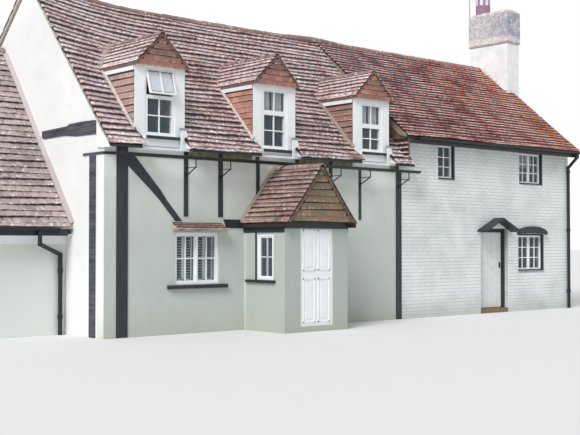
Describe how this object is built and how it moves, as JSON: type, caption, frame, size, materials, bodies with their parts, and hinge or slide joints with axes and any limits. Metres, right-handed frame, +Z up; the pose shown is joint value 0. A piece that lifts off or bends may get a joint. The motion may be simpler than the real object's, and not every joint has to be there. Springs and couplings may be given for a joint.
{
  "type": "half timbered house",
  "caption": "A half timbered cottage in three ranges with old clay tile roofs, gabled dormers, a tiled porch, a white painted brick end and an end chimney.",
  "frame": {"origin": "middle of the bounding box at ground level", "axes": "+X along the front from left to right as seen from the garden, +Y from the front to the back, +Z up"},
  "size_m": [17.411, 6.971, 8.5],
  "materials": {
    "lime_render": "limewashed render, matt",
    "painted_brick": "white painted brick, matt",
    "floor_boards": "plain boards, worn",
    "black_timber": "blackened oak, satin",
    "brown_boards": "weathered boards and mortar",
    "old_clay_tile": "weathered handmade plain tiles",
    "red_clay_tile": "red handmade plain tiles",
    "terracotta": "fired clay, matt",
    "mortar_and_lead": "weathered mortar and lead",
    "white_joinery": "white painted softwood, satin",
    "window_glass": "clear window glass",
    "black_iron": "black painted cast iron",
    "stack_render": "whitewashed shaft and grey rough-cast top",
    "bare_aluminium": "dull aluminium tube"
  },
  "bodies": {
    "house": {"main_front_wall": "lime_render", "main_rear_wall": "lime_render", "left_gable_wall": "lime_render", "cross_wall": "painted_brick", "right_wall_left": "painted_brick", "right_wall_right": "painted_brick", "right_wall_over_door": "painted_brick", "right_rear_wall": "painted_brick", "right_gable_wall": "painted_brick", "wing_front_wall": "lime_render", "wing_rear_wall": "lime_render", "wing_end_wall": "lime_render", "ground_floors": "floor_boards", "upper_floors": "floor_boards", "front_studs": "black_timber", "front_braces": "black_timber", "wall_plate": "black_timber", "gable_beams": "black_timber", "main_front_roof": "old_clay_tile", "main_rear_roof": "old_clay_tile", "right_front_roof": "red_clay_tile", "right_rear_roof": "red_clay_tile", "wing_front_roof": "old_clay_tile", "wing_rear_roof": "old_clay_tile", "ridge_tiles": "terracotta", "cross_gable_boards": "brown_boards", "eaves_boards": "white_joinery", "dormer_fronts": "white_joinery", "dormer_cheeks": "red_clay_tile", "dormer_roofs": "old_clay_tile", "dormer_windows": "white_joinery", "dormer_top_lights": "white_joinery", "roof_flashings": "mortar_and_lead", "porch_walls": "lime_render", "porch_lintel": "black_timber", "porch_roof": "old_clay_tile", "hung_gables": "red_clay_tile", "porch_door": "white_joinery", "wall_windows": "white_joinery", "window_glass": "window_glass", "window_hood": "old_clay_tile", "window_sills": "black_timber", "gutters": "black_iron", "right_fascias": "black_iron", "downpipes": "black_iron", "gutter_brackets": "black_iron", "door_frame": "black_timber", "door_pins": "black_iron", "door_hood": "black_timber", "chimney_stack": "stack_render", "chimney_pot": "terracotta", "aerial_mast": "bare_aluminium"},
    "door_leaf": {"cottage_door": "white_joinery", "door_ironwork": "black_iron"}
  },
  "joints": [
    {"name": "door_hinge", "type": "hinge", "parent": "house", "child": "door_leaf", "pos_m": [4.99, -1.9605, 1], "axis": [0, 0, 1], "range_deg": [0, 90]}
  ]
}
